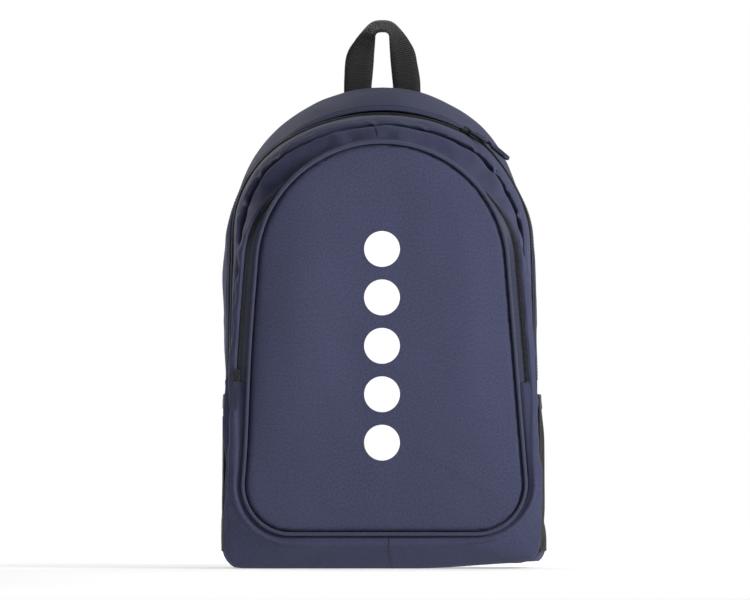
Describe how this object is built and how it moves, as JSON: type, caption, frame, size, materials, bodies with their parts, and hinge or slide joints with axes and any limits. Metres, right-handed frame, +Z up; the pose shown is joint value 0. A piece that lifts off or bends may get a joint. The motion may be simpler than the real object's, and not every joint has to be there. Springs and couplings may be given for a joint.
{
  "type": "school backpack",
  "caption": "Arch-topped school backpack with a zipped main compartment, zipped front pocket, mesh side pockets, grab handle and two padded adjustable shoulder straps.",
  "frame": {"origin": "centre of the flat base, on the floor the bag stands on", "axes": "+X to the right seen from the front, -Y out of the front pocket, +Y towards the wearer's back and straps, +Z up to the grab handle"},
  "size_m": [0.314, 0.2298, 0.52],
  "materials": {
    "navy_cloth": "matte woven polyester",
    "piping": "satin",
    "zip_tape": "matte",
    "zip_coil": "satin",
    "mesh": "open knit",
    "elastic": "matte rib",
    "pad_mesh": "air mesh",
    "webbing": "ribbed webbing",
    "label": "woven tape",
    "print": "matte printed film",
    "slider_metal": "satin",
    "pull_metal": "satin",
    "pull_grip": "moulded rubbery",
    "buckle": "moulded"
  },
  "bodies": {
    "pack": {"base_panel": "navy_cloth", "side_panel_left": "navy_cloth", "side_panel_right": "navy_cloth", "back_panel": "navy_cloth", "back_seam_binding": "elastic", "back_pad": "pad_mesh", "rear_gusset": "navy_cloth", "main_divider_lower": "navy_cloth", "gusset_fold": "navy_cloth", "pocket_gusset_lower": "navy_cloth", "front_face_lower": "navy_cloth", "front_face_fold": "navy_cloth", "piping_lower": "piping", "piping_fold": "piping", "main_zip_tape_rear": "zip_tape", "main_zip_coil_rear": "zip_coil", "main_zip_stops": "zip_coil", "mesh_pocket_left": "mesh", "mesh_pocket_right": "mesh", "pocket_elastic_left": "elastic", "pocket_elastic_right": "elastic", "strap_yoke": "navy_cloth", "handle_ends": "webbing", "strap_root_left": "navy_cloth", "strap_root_right": "navy_cloth", "strap_wing_left": "navy_cloth", "strap_wing_right": "navy_cloth", "side_label": "label", "print_dots_lower": "print"},
    "main_flap": {"main_divider_upper": "navy_cloth", "flap_gusset": "navy_cloth", "pocket_gusset_upper": "navy_cloth", "main_zip_tape_front": "zip_tape", "main_zip_coil_front": "zip_coil", "pocket_zip_tape_outer": "zip_tape", "pocket_zip_coil_outer": "zip_coil", "pocket_zip_stops": "zip_coil", "front_face_middle": "navy_cloth"},
    "pocket_flap": {"front_face_upper": "navy_cloth", "piping_upper": "piping", "pocket_zip_tape_inner": "zip_tape", "pocket_zip_coil_inner": "zip_coil", "print_dots_upper": "print"},
    "slider_a": {"main_slider_a": "slider_metal"},
    "pull_a": {"main_pull_link_a": "pull_metal", "main_pull_grip_a": "pull_grip"},
    "slider_b": {"main_slider_b": "slider_metal"},
    "pull_b": {"main_pull_link_b": "pull_metal", "main_pull_grip_b": "pull_grip"},
    "slider_pocket": {"pocket_slider": "slider_metal"},
    "pull_pocket": {"pocket_pull_link": "pull_metal", "pocket_pull_grip": "pull_grip"},
    "handle": {"grab_handle": "webbing"},
    "strap_left": {"shoulder_strap_left": "navy_cloth", "ladder_lock_left": "buckle", "strap_webbing_left": "webbing"},
    "strap_right": {"shoulder_strap_right": "navy_cloth", "ladder_lock_right": "buckle", "strap_webbing_right": "webbing"}
  },
  "joints": [
    {"name": "main_flap_hinge", "type": "hinge", "parent": "pack", "child": "main_flap", "pos_m": [0, 0.008, 0.176], "axis": [1, 0, 0], "range_deg": [0, 27], "deforming": ["gusset_fold", "front_face_fold", "piping_fold", "print_dots_lower"]},
    {"name": "pocket_flap_hinge", "type": "hinge", "parent": "main_flap", "child": "pocket_flap", "pos_m": [0, -0.0826, 0.19], "axis": [1, 0, 0], "range_deg": [0, 110]},
    {"name": "main_slider_a_travel", "type": "hinge", "parent": "pack", "child": "slider_a", "pos_m": [0, 0.008, 0.254], "axis": [0, -1, 0], "range_deg": [0, 53]},
    {"name": "main_pull_a_swing", "type": "hinge", "parent": "slider_a", "child": "pull_a", "pos_m": [0.08038, 0.008, 0.41879], "axis": [-0.6885, -0.6428, 0.3358], "range_deg": [0, 114]},
    {"name": "main_slider_b_travel", "type": "hinge", "parent": "pack", "child": "slider_b", "pos_m": [0.037, 0.008, 0.31809], "axis": [0, 1, 0], "range_deg": [0, 50]},
    {"name": "main_pull_b_swing", "type": "hinge", "parent": "slider_b", "child": "pull_b", "pos_m": [0.09735, 0.008, 0.40927], "axis": [-0.4169, -0.866, 0.276], "range_deg": [0, 106]},
    {"name": "pocket_slider_travel", "type": "slide", "parent": "main_flap", "child": "slider_pocket", "axis": [0.0815, 0, 0.9967], "range_m": [0, 0.085]},
    {"name": "pocket_pull_swing", "type": "hinge", "parent": "slider_pocket", "child": "pull_pocket", "pos_m": [-0.13872, -0.08085, 0.1846], "axis": [-0.9967, 0, 0.0815], "range_deg": [0, 160]},
    {"name": "handle_swing", "type": "hinge", "parent": "pack", "child": "handle", "pos_m": [0, 0.08525, 0.46], "axis": [1, 0, 0], "range_deg": [-110, 88]},
    {"name": "strap_left_swing", "type": "hinge", "parent": "pack", "child": "strap_left", "pos_m": [-0.1295, 0.088, 0.057], "axis": [0.226, 0.0621, 0.9721], "range_deg": [-25, 25]},
    {"name": "strap_right_swing", "type": "hinge", "parent": "pack", "child": "strap_right", "pos_m": [0.1295, 0.088, 0.057], "axis": [-0.226, 0.0621, 0.9721], "range_deg": [-25, 25]}
  ]
}
